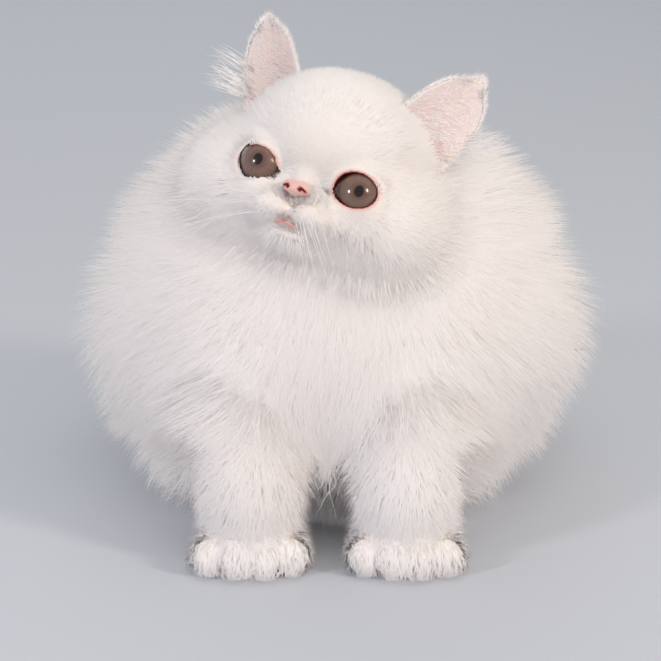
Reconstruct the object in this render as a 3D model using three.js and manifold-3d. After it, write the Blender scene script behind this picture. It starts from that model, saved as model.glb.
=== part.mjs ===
// A young Persian cat with a long white coat, sitting upright and looking up over its right shoulder's side.
// A still, life-size model: millimetres, +Z up, the chest towards -Y, resting on the floor at Z = 0.
// "left" and "right" in names are the cat's own sides: its left side lies towards +X.
import * as THREE from "three";
import { mergeVertices } from "three/addons/utils/BufferGeometryUtils.js";
import Module from "manifold-3d";

const wasm = await Module();
wasm.setup();

// Driving dimensions of the animal
const eyeSpacing = 46; // between the middles of the eyes
const eyeRadius = 11; // eyeball
const coatDepth = { ruff: 46, chest: 40, body: 38, thigh: 34, tail: 28, cheek: 22 }; // flesh to hair tips
const coreShare = 0.5; // how much of the coat's depth the closed core fills
const gap = 0.4; // left between neighbouring pieces
const eyeMiddle = [-9.7, -60, 179]; // middle of the face, between the eyes
const headTurn = [-16.2, -28, 12.6]; // degrees: to the cat's right, up, and tilted to its left
const toeLine = -86; // front of the forepaws along Y
const legHalfSpacing = 34; // forelegs, from the middle plane
const seed = 20417;

// Colours of the visible surfaces
const white = "#f4efea";
const materials = {
  coat: new THREE.MeshStandardMaterial({ color: white, roughness: 0.9, metalness: 0 }),
  ear: new THREE.MeshStandardMaterial({ color: "#eed8d3", roughness: 0.8, metalness: 0 }),
  nose: new THREE.MeshStandardMaterial({ color: "#e3a9a6", roughness: 0.6, metalness: 0 }),
  eye: new THREE.MeshStandardMaterial({ color: "#7b6459", roughness: 0.08, metalness: 0 }),
};

// Small vector helpers
const degrees = Math.PI / 180;
const point = (x, y, z) => new THREE.Vector3(x, y, z);
const mix = (a, b, t) => a + (b - a) * t;
const sides = [
  { word: "right", sign: -1 },
  { word: "left", sign: 1 },
];

// Repeatable random numbers for the variation between locks
function randomSource(start) {
  let state = start;
  return () => {
    state = (state * 1664525 + 1013904223) % 4294967296;
    return state / 4294967296;
  };
}
const random = randomSource(seed);

// Rounded masses and the soft blend of several of them. A field is below 0 inside and grows
// roughly by 1 for each millimetre outside.
const mass = (x, y, z, rx, ry, rz) => ({ at: point(x, y, z), size: point(rx, ry, rz) });
const pair = (x, y, z, rx, ry, rz) => [mass(-x, y, z, rx, ry, rz), mass(x, y, z, rx, ry, rz)];

function massField({ at, size }, p) {
  const q = p.clone().sub(at).divide(size);
  const near = Math.max(q.length(), 1e-6);
  return (near * (near - 1)) / Math.max(q.divide(size).length(), 1e-9);
}

function softMin(a, b, blend) {
  const share = Math.max(blend - Math.abs(a - b), 0) / blend;
  return Math.min(a, b) - (share * share * blend) / 4;
}

const blended = (masses, blend) => (p) =>
  masses.reduce((least, m) => softMin(least, massField(m, p), blend), 1e6);
const together = (fields, blend) => (p) => fields.reduce((least, f) => softMin(least, f(p), blend), 1e6);

function slope(field, p) {
  const step = 0.5;
  const rise = (axis) => {
    const high = p.clone();
    const low = p.clone();
    high[axis] += step;
    low[axis] -= step;
    return field(high) - field(low);
  };
  return point(rise("x"), rise("y"), rise("z")).divideScalar(2 * step);
}

// Moves a point along the field's slope to the surface at that level
function toLevel(field, p, level) {
  const moved = p.clone();
  for (let i = 0; i < 6; i++) {
    const s = slope(field, moved);
    moved.addScaledVector(s, (level - field(moved)) / Math.max(s.lengthSq(), 0.05));
  }
  return moved;
}

// Geometry to closed solid and back
function solidOf(geometry) {
  const bare = geometry.clone();
  ["normal", "uv"].forEach((name) => bare.deleteAttribute(name));
  const merged = mergeVertices(bare, 1e-3);
  const triVerts = new Uint32Array(merged.index.array);
  const build = () =>
    new wasm.Manifold(
      new wasm.Mesh({ numProp: 3, vertProperties: merged.attributes.position.array, triVerts }),
    );
  const made = build();
  if (made.volume() > 0) return made;
  for (let i = 0; i < triVerts.length; i += 3)
    [triVerts[i + 1], triVerts[i + 2]] = [triVerts[i + 2], triVerts[i + 1]];
  return build();
}

function geometryOf(solid) {
  const mesh = solid.getMesh();
  return new THREE.BufferGeometry()
    .setAttribute("position", new THREE.BufferAttribute(new Float32Array(mesh.vertProperties), 3))
    .setIndex(new THREE.BufferAttribute(new Uint32Array(mesh.triVerts), 1));
}

const union = (solids) => wasm.Manifold.union(solids);
const without = (solid, others) => (others.length ? solid.subtract(union(others)) : solid);
const largest = (solid) =>
  solid.decompose().reduce((best, piece) => (piece.volume() > best.volume() ? piece : best));
const tidied = (solid) => largest(solidOf(geometryOf(largest(solid))));

// Reshapes a three.js geometry: place(vertex) gives each vertex its new position
function reshaped(geometry, place) {
  const bare = geometry.clone();
  ["normal", "uv"].forEach((name) => bare.deleteAttribute(name));
  const merged = mergeVertices(bare, 1e-5);
  const spots = merged.attributes.position;
  for (let i = 0; i < spots.count; i++) {
    const p = place(point(spots.getX(i), spots.getY(i), spots.getZ(i)));
    spots.setXYZ(i, p.x, p.y, p.z);
  }
  return merged;
}

// A closed form grown from its centre out to a level of a field. aim crowds the faces to one side.
function grown(field, centre, level, detail, aim = point(0, 0, 0)) {
  const march = 3;
  return reshaped(new THREE.IcosahedronGeometry(1, detail), (v) => {
    const way = v.normalize().add(aim).normalize();
    const at = (t) => field(centre.clone().addScaledVector(way, t)) - level;
    let far = march;
    while (at(far) < 0) far += march;
    let near = far - march;
    for (let i = 0; i < 14; i++) {
      const half = (near + far) / 2;
      if (at(half) < 0) near = half;
      else far = half;
    }
    return centre.clone().addScaledVector(way, far);
  });
}

// A closed tube along a curve that never runs along the given way. radiusAt(share) is its radius.
function limb(curve, radiusAt, around, along, never = point(0, 0, 1)) {
  return reshaped(new THREE.CylinderGeometry(1, 1, 1, around, along), (v) => {
    const share = THREE.MathUtils.clamp(v.y + 0.5, 0, 1);
    const ahead = curve.getTangentAt(share);
    const side = ahead.clone().cross(never).normalize();
    const over = side.clone().cross(ahead).normalize();
    const radius = radiusAt(share);
    return curve
      .getPointAt(share)
      .addScaledVector(side, v.x * radius)
      .addScaledVector(over, v.z * radius);
  });
}

// The lie of the long coat: away from the face and down
const faceMiddle = point(...eyeMiddle);
const downPull = 0.7;
function bodyLie(p) {
  return p.clone().sub(faceMiddle).normalize().add(point(0, 0, -downPull)).normalize();
}

// A lock's middle line: it leaves the core at the root and climbs to the tips while it follows the body.
// Each lock is rolled a little, so that neighbours lie over one another like shingles.
const lockRows = [0, 0.4, 0.75, 1];
const lockSink = 4;
const lockRoll = 12; // degrees
const floorClearance = 3.5;
function lockLine({ field, root, lie, length, tipLevel, splay = 0 }) {
  const spots = [];
  let p = toLevel(field, root, -lockSink);
  lockRows.forEach((share, i) => {
    const level = mix(-lockSink, tipLevel, Math.pow(share, 0.85));
    p = toLevel(field, p, level);
    p.z = Math.max(p.z, floorClearance);
    const out = slope(field, p).normalize();
    const way = lie(p);
    way.addScaledVector(out, -way.dot(out)).normalize();
    way.addScaledVector(way.clone().cross(out).normalize(), splay).normalize();
    const side = way.clone().cross(out).normalize().applyAxisAngle(way, lockRoll * degrees);
    spots.push({ p: p.clone(), out: out.clone().applyAxisAngle(way, lockRoll * degrees), side });
    const next = i + 1 < lockRows.length ? lockRows[i + 1] - share : 0;
    p.addScaledVector(way, length * next);
  });
  return spots;
}

// A flat, tapered lock of hair along its middle line: two edges and a ridge between them, flat below.
// grow swells it, to cut a neighbour clear of it.
const lockWide = [0.62, 1, 0.74, 0];
const lockThick = [1, 1, 0.8, 0];
const lockSwell = { tip: 8, edge: 5, under: 1.3, ridge: 1.8 }; // millimetres for each one of grow
function lockGeometry(line, width, thick, grow = 0) {
  const rows = lockRows.length - 1;
  return reshaped(new THREE.ConeGeometry(1, 1, 3, rows), (v) => {
    const row = Math.round((v.y + 0.5) * rows);
    const { p, out, side } = line[row];
    const ahead = row === rows ? p.clone().sub(line[row - 1].p).normalize() : null;
    if (ahead) return p.clone().addScaledVector(ahead, lockSwell.tip * grow);
    const corner = Math.round(Math.atan2(v.x, v.z) / ((2 * Math.PI) / 3));
    const across = corner * ((width / 2) * lockWide[row] + lockSwell.edge * grow);
    const ridge = thick * lockThick[row] + lockSwell.ridge * grow;
    const lift = corner ? -lockSwell.under * grow : ridge;
    return p.clone().addScaledVector(side, across).addScaledVector(out, lift);
  });
}

// Ways out of a centre in tiers round a pole, each tier staggered against the one before it
function tierWays(pole, { first, last, tiers, around }) {
  const turn = new THREE.Quaternion().setFromUnitVectors(point(0, 0, 1), pole.clone().normalize());
  const ways = [];
  for (let tier = 0; tier < tiers; tier++) {
    const tilt = mix(first, last, tiers > 1 ? tier / (tiers - 1) : 0) * degrees;
    const count = Math.max(3, Math.round(around * Math.sin(tilt)));
    for (let i = 0; i < count; i++) {
      const angle = ((i + 0.5 * (tier % 2)) / count) * 2 * Math.PI;
      const ring = point(Math.sin(tilt) * Math.cos(angle), Math.sin(tilt) * Math.sin(angle), Math.cos(tilt));
      ways.push(ring.applyQuaternion(turn));
    }
  }
  return ways;
}

// The head's own frame: origin between the eyes, x to the cat's left, y back into the head, z to the crown
const headFrame = new THREE.Matrix4()
  .makeRotationZ(headTurn[0] * degrees)
  .multiply(new THREE.Matrix4().makeRotationX(headTurn[1] * degrees))
  .multiply(new THREE.Matrix4().makeRotationY(headTurn[2] * degrees))
  .setPosition(faceMiddle);
const headInverse = headFrame.clone().invert();
const headDirection = (x, y, z) => point(x, y, z).transformDirection(headFrame);
const onHead = (x, y, z) => point(x, y, z).applyMatrix4(headFrame);
const inHeadFrame = (field) => (p) => field(p.clone().applyMatrix4(headInverse));

// The masses of the head, in its own frame
const eyeOutward = 8; // degrees that each eye looks outwards
const eyeX = eyeSpacing / 2 - eyeRadius * Math.sin(eyeOutward * degrees);
const eyeDepth = 10.2; // centre of the ball behind the face's front
const lidOver = 1.9; // thickness of the lids over the ball
const skullMasses = [
  mass(0, 36, 16, 43, 40, 37), // cranium
  mass(0, 20, 20, 30, 21, 23), // domed forehead
  ...pair(30, 26, -8, 23, 24, 23), // full cheeks
  mass(0, 27, -18, 32, 26, 15), // jaw
];
const lidRadius = eyeRadius + lidOver;
const faceMasses = [
  ...pair(15, 9, -13, 14, 11, 10), // under the eyes
  mass(0, 6, -3, 8, 8.5, 8), // short bridge
  ...pair(8.6, 1, -16.5, 11, 9.4, 7.6), // whisker pads
  mass(0, 5, -26, 11, 8.5, 6), // chin
];
const lidMasses = pair(eyeX, eyeDepth, 0, lidRadius, lidRadius, lidRadius);
const headField = inHeadFrame(
  together([blended(skullMasses, 12), blended(faceMasses, 4), blended(lidMasses, 1)], 5),
);
const headCentre = onHead(0, 32, 0);

// The masses of the body: the surface of the coat's closed core
const bodyMasses = {
  neck: [mass(3, -5, 144, 68, 53, 45)],
  chest: [mass(2, -28, 102, 68, 42, 56)],
  torso: [mass(5, 12, 98, 98, 72, 60), mass(3, 38, 74, 108, 74, 50), mass(4, 52, 44, 80, 66, 48)],
  thigh: pair(47, 20, 46, 37, 49, 40),
};
const legMasses = [...pair(31, -47, 72, 25, 25, 40), ...pair(34, -57, 34, 25, 25, 36)];
const bodyField = blended([...Object.values(bodyMasses).flat(), ...legMasses], 14);
const coatField = together([bodyField, headField], 10); // what the long locks lie over

// One node that carries locks: its core and locks, and both again a little swollen for cutting others
function coated({ core, swollen, locks }) {
  const hairs = locks.map(({ line, width, thick }) => solidOf(lockGeometry(line, width, thick)));
  const swollenHairs = locks.map(({ line, width, thick }) => solidOf(lockGeometry(line, width, thick, gap)));
  return { solid: union([core, ...hairs]), swollen: union([swollen, ...swollenHairs]) };
}

// The twin is coarser, so it swells by more than the gap
const form = (field, centre, detail, { twin = 4, swell = 1.3, aim } = {}) => ({
  core: solidOf(grown(field, centre, 0, detail, aim)),
  swollen: solidOf(grown(field, centre, gap + swell, twin)),
});

// Locks in tiers all over a core, kept where keep(root) allows one
function coatLocks({ field, own, centre, pole, tiers, keep, length, width, thick, tipLevel, lie = bodyLie }) {
  return tierWays(pole, tiers)
    .map((way) => {
      const vary = () => 1 + (random() - 0.5) * 0.24;
      const shape = { length: length * vary(), width: width * vary(), splay: (random() - 0.5) * 0.24 };
      let t = 4;
      while (own(centre.clone().addScaledVector(way, t)) < 0) t += 1;
      return { root: centre.clone().addScaledVector(way, t), ...shape };
    })
    .filter(({ root }) => keep(root))
    .map(({ root, length: long, width: wide, splay }) => ({
      line: lockLine({ field, root, lie, length: long, tipLevel, splay }),
      width: wide,
      thick,
    }));
}

const tipOver = (part) => coatDepth[part] * (1 - coreShare);

// The finished solids by name. cutters holds the swollen twin of each, which later ones are cut by.
const solids = new Map();
const cutters = new Map();
const floorBlock = solidOf(new THREE.BoxGeometry(800, 800, 200).translate(0, 0, -100));

function addNode(name, { solid, swollen }, material, clearOf = []) {
  const cut = without(solid, [...clearOf.map((other) => cutters.get(other)), floorBlock]);
  solids.set(name, { solid: tidied(cut), material });
  cutters.set(name, swollen);
}

// Eyes: a ball with the clear front standing a little proud
const cornea = { forward: 4, radius: 8.3 };
function eyeGeometry(sign, grow) {
  const ahead = point(sign * Math.sin(eyeOutward * degrees), -Math.cos(eyeOutward * degrees), 0);
  const ball = mass(0, 0, 0, eyeRadius, eyeRadius, eyeRadius);
  const { forward, radius } = cornea;
  const front = { at: ahead.clone().multiplyScalar(forward), size: point(radius, radius, radius) };
  return grown(blended([ball, front], 1.5), point(0, 0, 0), grow, 2, ahead.multiplyScalar(0.5))
    .translate(sign * eyeX, eyeDepth, 0)
    .applyMatrix4(headFrame);
}
for (const { word, sign } of sides)
  addNode(
    "eye_" + word,
    { solid: solidOf(eyeGeometry(sign, 0)), swollen: solidOf(eyeGeometry(sign, gap)) },
    "eye",
  );

// The opening between the lids: an oval funnel that widens a little outwards
const openingHalf = [9.9, 8.6]; // half width and half height
function lidOpening(sign) {
  const funnel = new THREE.CylinderGeometry(0.9, 1.1, 16, 24, 1);
  return solidOf(
    funnel
      .scale(openingHalf[0], 1, openingHalf[1])
      .translate(0, -eyeRadius - 1, 0)
      .rotateZ(sign * eyeOutward * degrees)
      .translate(sign * eyeX, eyeDepth, 0)
      .applyMatrix4(headFrame),
  );
}

// Nose leather with its two nostrils, each a round hole that runs out into a slit
const noseMasses = [
  mass(0, -5.4, -5.4, 4.9, 3.8, 2.6),
  mass(0, -5.2, -8.2, 3.2, 4, 2.9),
  ...pair(3.1, -5.2, -6.8, 2.4, 3.4, 2.4),
];
const noseField = inHeadFrame(blended(noseMasses, 2));
function nostril(sign, x, z, half, lean) {
  const hole = new THREE.SphereGeometry(1, 7, 4).scale(...half);
  return solidOf(
    hole
      .rotateY(sign * lean)
      .translate(sign * x, -9.2, z)
      .applyMatrix4(headFrame),
  );
}
const nostrilCuts = sides.flatMap(({ sign }) => [
  nostril(sign, 2.6, -7.3, [1, 2.6, 1.15], 0.5),
  nostril(sign, 4.4, -8, [2.2, 2.4, 0.5], 0.45),
]);
const noseForm = form(noseField, onHead(0, -6, -7), 2, { twin: 2, swell: 0.3 });
addNode("nose", { solid: without(noseForm.core, nostrilCuts), swollen: noseForm.swollen }, "nose");

// The mouth: the split under the nose, the line to each corner, a small gap and the lower lip
const path = (spots) => new THREE.CatmullRomCurve3(spots.map((p) => point(...p)));
const mouthLine = path([
  [-15, 1, -27.5],
  [-10, -4, -24],
  [-4.5, -7.4, -20.2],
  [0, -8, -17.6],
  [4.5, -7.4, -20.2],
  [10, -4, -24],
  [15, 1, -27.5],
]);
const splitLine = path([
  [0, -9.5, -10.5],
  [0, -9.2, -14],
  [0, -8, -18],
]);
const lowerLip = path([
  [-5.5, -1.5, -23.2],
  [0, -5.2, -21.8],
  [5.5, -1.5, -23.2],
]);
const tube = (curve, radius, steps) => solidOf(limb(curve, () => radius, 6, steps).applyMatrix4(headFrame));
function mouthGap() {
  const wedge = new THREE.SphereGeometry(1, 10, 6).scale(3.2, 4, 2.4);
  return solidOf(wedge.translate(0, -7.4, -20).applyMatrix4(headFrame));
}

// The head: core, lids and lips, cheek locks that lie back into the ruff
const faceWay = headDirection(0, -1, 0);
const headAim = faceWay.clone().multiplyScalar(0.7); // finer facets on the face than behind
const headForm = form(headField, headCentre, 8, { twin: 6, aim: headAim });
const headCuts = [
  ...sides.map(({ sign }) => lidOpening(sign)),
  tube(mouthLine, 0.9, 12),
  tube(splitLine, 0.8, 3),
  mouthGap(),
];
const headBare = union([without(headForm.core, headCuts), tube(lowerLip, 1.7, 5)]);
const noseTip = onHead(0, -8, -8);
const cheekLie = (p) => p.clone().sub(noseTip).normalize().add(point(0, 0, -0.25)).normalize();
const onCheek = (p) => {
  const q = p.clone().applyMatrix4(headInverse);
  return q.z < 22 && Math.hypot(q.x, q.z + 6) > 26;
};
const cheekLocks = coatLocks({
  field: coatField,
  own: headField,
  centre: headCentre,
  pole: faceWay,
  tiers: { first: 66, last: 92, tiers: 2, around: 15 },
  keep: onCheek,
  length: 44,
  width: 19,
  thick: 3,
  tipLevel: tipOver("cheek"),
  lie: cheekLie,
});
addNode(
  "head",
  coated({ core: headBare, swollen: headForm.swollen, locks: cheekLocks }),
  "coat",
  ["eye_right", "eye_left", "nose"],
);

// Ears: a curved cup open to the front, rounded at the tip, with hair across its mouth
const ear = { height: 34, halfWidth: 15.5, tipHalf: 6.5, thick: 2.2, curl: 58, tipCurl: 24, sunk: 7 };
const earBase = { x: 36, y: 27, z: 34 }; // middle of the foot, in the head's frame
const earLean = { out: 25, back: 4, turn: 8 }; // degrees: sideways, backwards, mouth turned outwards
const earFrame = (sign) =>
  headFrame
    .clone()
    .multiply(new THREE.Matrix4().makeTranslation(sign * earBase.x, earBase.y, earBase.z))
    .multiply(new THREE.Matrix4().makeRotationY(sign * earLean.out * degrees))
    .multiply(new THREE.Matrix4().makeRotationX(-earLean.back * degrees))
    .multiply(new THREE.Matrix4().makeRotationZ(sign * earLean.turn * degrees));
function evenSheet(across, up) {
  const sheet = new THREE.BoxGeometry(2, 1, 1, across, 1, up);
  const { index, attributes } = sheet;
  for (let i = 0; i < index.count; i += 6) {
    const [a, b, d, , c] = index.array.subarray(i, i + 6);
    if ([a, b, c, d].every((corner) => attributes.position.getY(corner) < 0))
      index.array.set([a, b, c, a, c, d], i); // both broad faces are split alike
  }
  return sheet;
}
function earSheet(sign, grow) {
  const sheet = reshaped(evenSheet(7, 6), (v) => {
    const share = v.z + 0.5;
    const height = mix(-ear.sunk, ear.height + grow, share);
    const taper = Math.pow(THREE.MathUtils.clamp(height / ear.height, 0, 1), 1.9);
    const tipRound = Math.sqrt(1 - 0.6 * Math.pow(share, 8));
    const half = mix(ear.halfWidth, ear.tipHalf, taper) * tipRound + grow;
    const curl = mix(ear.curl, ear.tipCurl, share) * degrees;
    const round = half / Math.sin(curl);
    const angle = v.x * curl;
    const radius = round + v.y * (ear.thick + 2 * grow);
    const shoulder = 5.5 * v.x * v.x * Math.pow(share, 4);
    return point(radius * Math.sin(angle), radius * Math.cos(angle) - round * Math.cos(curl), height - shoulder);
  });
  return sheet.applyMatrix4(earFrame(sign));
}
const earLockRoots = [
  { across: -0.45, height: 10, long: 26, rise: 0.42 },
  { across: -0.15, height: 5, long: 27, rise: 0.28 },
  { across: 0.2, height: 1, long: 25, rise: 0.12 },
];
function earLocks(sign) {
  return earLockRoots.map(({ across, height, long, rise }) => {
    const line = lockRows.map((share) => {
      const x = sign * (ear.halfWidth * across + long * share);
      const y = mix(7 - 8 * across * across, -6, Math.min(1, share * 1.5));
      const z = height + long * rise * share * (1.6 - share);
      return {
        p: point(x, y, z).applyMatrix4(earFrame(sign)),
        out: point(0, -1, 0).transformDirection(earFrame(sign)),
        side: point(-rise, 0, sign).transformDirection(earFrame(sign)),
      };
    });
    return { line, width: 7, thick: 2.2 };
  });
}
for (const { word, sign } of sides) {
  const made = coated({
    core: solidOf(earSheet(sign, 0)),
    swollen: solidOf(earSheet(sign, gap)),
    locks: earLocks(sign),
  });
  addNode("ear_" + word, made, "ear", ["head"]);
}

// Forelegs: straight columns of short fur from inside the bib down to the wrist
const foreleg = { top: 92, wrist: 17, radius: 25, wristRadius: 24 };
function forelegLimb(sign, grow) {
  const line = path([
    [sign * (legHalfSpacing - 4), -42, foreleg.top],
    [sign * (legHalfSpacing - 1), -54, 54],
    [sign * legHalfSpacing, -58, foreleg.wrist],
  ]);
  const radiusAt = (share) => {
    const end = Math.min(1, 5 * (1 - share) + 0.7, 5 * share + 0.7);
    return mix(foreleg.radius, foreleg.wristRadius, share) * end + grow;
  };
  return limb(line, radiusAt, 14, 7, point(1, 0, 0));
}
for (const { word, sign } of sides)
  addNode(
    "front_leg_" + word,
    { solid: solidOf(forelegLimb(sign, 0)), swollen: solidOf(forelegLimb(sign, gap)) },
    "coat",
  );

// Paws: a pad of fur with four toes, flat on the floor
function pawMasses(x, { front, length, width, height, splay }) {
  const toe = { half: width * 0.2, reach: length * 0.2 };
  const masses = [mass(x, front + length * 0.53, height * 0.4, width * 0.5, length * 0.47, height * 0.62)];
  for (let i = 0; i < 4; i++) {
    const across = (i - 1.5) / 1.5;
    const back = toe.reach + Math.abs(across) * splay;
    masses.push(mass(x + across * width * 0.34, front + back, height * 0.34, toe.half, toe.reach, height * 0.42));
  }
  return masses;
}
const frontPaw = { front: toeLine, length: 48, width: 52, height: 27, splay: 5 };
const hindPaw = { front: -30, length: 62, width: 34, height: 21, splay: 3.5 };
const hindPawX = 44;
function addPaw(name, masses, detail, clearOf) {
  const made = form(blended(masses, 2.5), masses[0].at.clone(), detail);
  addNode(name, { solid: made.core, swollen: made.swollen }, "coat", clearOf);
}
for (const { word, sign } of sides)
  addPaw("front_paw_" + word, pawMasses(sign * legHalfSpacing, frontPaw), 4, ["front_leg_" + word]);
const forelimbs = sides.flatMap(({ word }) => ["front_leg_" + word, "front_paw_" + word]);

// Neck with the ruff
const ownField = (name) => blended(bodyMasses[name], 14);
const clearOfHead = (p) => headField(p) > 10;
const neckCentre = bodyMasses.neck[0].at;
const neckForm = form(ownField("neck"), neckCentre, 5);
const ruffLocks = coatLocks({
  field: coatField,
  own: ownField("neck"),
  centre: neckCentre,
  pole: headCentre.clone().sub(neckCentre),
  tiers: { first: 52, last: 104, tiers: 3, around: 18 },
  keep: (p) => clearOfHead(p) && ownField("torso")(p) > -2 && ownField("chest")(p) > -2,
  length: 58,
  width: 27,
  thick: 5,
  tipLevel: tipOver("ruff"),
});
addNode(
  "neck",
  coated({ ...neckForm, locks: ruffLocks }),
  "coat",
  ["head", "ear_right", "ear_left", "nose"],
);

// Chest with the bib
const chestCentre = bodyMasses.chest[0].at;
const chestForm = form(ownField("chest"), chestCentre, 5);
const bibLocks = coatLocks({
  field: coatField,
  own: ownField("chest"),
  centre: chestCentre,
  pole: point(0, 0.3, 1),
  tiers: { first: 66, last: 120, tiers: 3, around: 14 },
  keep: (p) => p.z > 50 && ownField("neck")(p) > 0 && ownField("torso")(p) > 0 && clearOfHead(p),
  length: 54,
  width: 33,
  thick: 5,
  tipLevel: tipOver("chest"),
});
addNode("chest", coated({ ...chestForm, locks: bibLocks }), "coat", ["head", "nose", "neck", ...forelimbs]);

// Torso: ribs, back, belly and rump
const torsoField = ownField("torso");
const torsoCentre = point(2, 30, 76);
const torsoForm = form(torsoField, torsoCentre, 5, { swell: 2.2 });
const torsoLocks = coatLocks({
  field: coatField,
  own: torsoField,
  centre: torsoCentre,
  pole: point(0, -0.75, 1),
  tiers: { first: 36, last: 120, tiers: 5, around: 13 },
  keep: (p) =>
    p.z > 18 &&
    ownField("neck")(p) > 4 &&
    ownField("chest")(p) > 8 &&
    blended(bodyMasses.thigh, 1)(p) > 3 &&
    (p.y > 0 || (p.z > 40 && p.y > -40)) &&
    clearOfHead(p),
  length: 68,
  width: 42,
  thick: 5.5,
  tipLevel: tipOver("body"),
});
addNode("torso", coated({ ...torsoForm, locks: torsoLocks }), "coat", [
  "head",
  "neck",
  "chest",
  ...forelimbs,
]);

// Hind legs: the thigh of each, folded under the sitting cat
sides.forEach(({ word, sign }, i) => {
  const own = (p) => massField(bodyMasses.thigh[i], p);
  const centre = bodyMasses.thigh[i].at;
  const thighLocks = coatLocks({
    field: coatField,
    own,
    centre,
    pole: point(0, 0, 1),
    tiers: { first: 50, last: 110, tiers: 3, around: 10 },
    keep: (p) => p.z > 20 && p.y > -12 && torsoField(p) > 0 && sign * p.x > 30,
    length: 46,
    width: 30,
    thick: 5,
    tipLevel: tipOver("thigh"),
  });
  addNode("hind_leg_" + word, coated({ ...form(own, centre, 4), locks: thighLocks }), "coat", [
    "neck",
    "chest",
    "torso",
    ...forelimbs,
  ]);
});
for (const { word, sign } of sides)
  addPaw("hind_paw_" + word, pawMasses(sign * hindPawX, hindPaw), 2, [
    "torso",
    "chest",
    "hind_leg_" + word,
    ...forelimbs,
  ]);

// Tail: laid along the floor behind the rump and round to the cat's left, in two lengths
const tailLine = path([
  [4, 98, 32],
  [18, 124, 24],
  [48, 138, 20],
  [78, 128, 18],
  [94, 106, 17],
]);
const tailRadius = 14;
const tailTaper = (share) => tailRadius * Math.sqrt(Math.max(0.06, 1 - Math.pow(share, 5)));
const tailMasses = Array.from({ length: 13 }, (_, i) => {
  const radius = tailTaper(i / 12);
  return { at: tailLine.getPointAt(i / 12), size: point(radius, radius, radius) };
});
const tailField = blended(tailMasses, 6);
function tailStretch(from, to, grow) {
  const spots = Array.from({ length: 7 }, (_, i) => tailLine.getPointAt(mix(from, to, i / 6)));
  return limb(new THREE.CatmullRomCurve3(spots), (share) => tailTaper(mix(from, to, share)) + grow, 12, 6);
}
function tailLie(p) {
  const far = tailMasses.map((m) => m.at.distanceTo(p));
  return tailLine.getTangentAt(far.indexOf(Math.min(...far)) / 12);
}
function tailLocks(from, to, rings) {
  const around = 4;
  const roots = [];
  for (let ring = 0; ring < rings; ring++)
    for (let i = 0; i < around; i++) {
      const share = mix(from, to, (ring + 0.3 + 0.2 * random()) / rings);
      const angle = ((i + 0.5 * (ring % 2)) / around) * 2 * Math.PI;
      const side = tailLine.getTangentAt(share).cross(point(0, 0, 1)).normalize();
      const root = tailLine.getPointAt(share).addScaledVector(side, Math.cos(angle) * tailRadius);
      root.z += Math.sin(angle) * tailRadius;
      roots.push(root);
    }
  return roots
    .filter((root) => root.z > 8)
    .map((root) => {
      const splay = (random() - 0.5) * 0.24;
      const line = lockLine({ field: tailField, root, lie: tailLie, length: 40, tipLevel: tipOver("tail"), splay });
      return { line, width: 21, thick: 4 };
    });
}
const tailSplit = 0.52;
const tailStep = gap / tailLine.getLength();
const tailParts = [
  { name: "tail_base", from: 0, to: tailSplit - tailStep, rings: 2 },
  { name: "tail_tip", from: tailSplit + tailStep, to: 1, rings: 2 },
];
const bodyNodes = ["torso", "hind_leg_right", "hind_leg_left"];
tailParts.forEach(({ name, from, to, rings }, i) => {
  const made = coated({
    core: solidOf(tailStretch(from, to, 0)),
    swollen: solidOf(tailStretch(from, to, gap)),
    locks: tailLocks(from, to, rings),
  });
  addNode(name, made, "coat", i ? [...bodyNodes, tailParts[0].name] : bodyNodes);
});

// The scene: every solid as a named mesh, moved so that the origin lies under the middle of the whole
const cat = new THREE.Group();
for (const [name, { solid, material }] of solids) {
  const mesh = new THREE.Mesh(geometryOf(solid), materials[material]);
  mesh.name = name;
  cat.add(mesh);
}
const reach = new THREE.Box3().setFromObject(cat);
const middle = reach.getCenter(point(0, 0, 0));
for (const mesh of cat.children) mesh.geometry.translate(-middle.x, -middle.y, -reach.min.z);

export default cat;
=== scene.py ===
# A young white Persian cat with a long coat, sitting and looking up, as a life-size model.
# Shapes are worked out in the animal's own millimetres, then moved into the frame's metres.
import math
import bmesh
import bpy
import numpy as np
from mathutils import Matrix, Vector, kdtree


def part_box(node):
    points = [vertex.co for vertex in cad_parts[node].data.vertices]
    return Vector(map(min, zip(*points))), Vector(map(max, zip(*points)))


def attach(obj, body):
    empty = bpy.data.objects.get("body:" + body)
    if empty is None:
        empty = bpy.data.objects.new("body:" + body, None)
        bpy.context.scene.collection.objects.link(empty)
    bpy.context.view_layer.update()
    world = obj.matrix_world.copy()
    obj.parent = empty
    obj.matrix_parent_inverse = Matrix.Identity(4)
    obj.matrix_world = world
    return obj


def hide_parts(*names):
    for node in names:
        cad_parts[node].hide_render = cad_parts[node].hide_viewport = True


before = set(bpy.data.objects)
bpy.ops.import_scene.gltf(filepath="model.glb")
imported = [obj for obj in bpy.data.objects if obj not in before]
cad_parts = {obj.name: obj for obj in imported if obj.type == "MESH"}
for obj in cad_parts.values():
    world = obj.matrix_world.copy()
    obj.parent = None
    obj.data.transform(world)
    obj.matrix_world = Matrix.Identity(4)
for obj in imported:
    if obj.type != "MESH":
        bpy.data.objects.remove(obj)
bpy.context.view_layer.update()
rng = np.random.default_rng(20417)
print("frame loaded")

# the animal's measures in millimetres and degrees, as in the solids but for the thicker lids
cat = {
    "eyeSpacing": 46, "eyeRadius": 11, "eyeOutward": 8, "eyeDepth": 10.2, "lidOver": 2.6,
    "eyeMiddle": (-9.7, -60, 179),
    "headTurn": (-16.2, -28, 12.6),
    "toeLine": -86,
    "legHalfSpacing": 34,
}
outward = math.radians(cat["eyeOutward"])
eyeX = cat["eyeSpacing"] / 2 - cat["eyeRadius"] * math.sin(outward)
sides = {"right": -1, "left": 1}  # the cat's own sides


def turn(axis, angle):
    return np.array(Matrix.Rotation(math.radians(angle), 3, axis))


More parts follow.
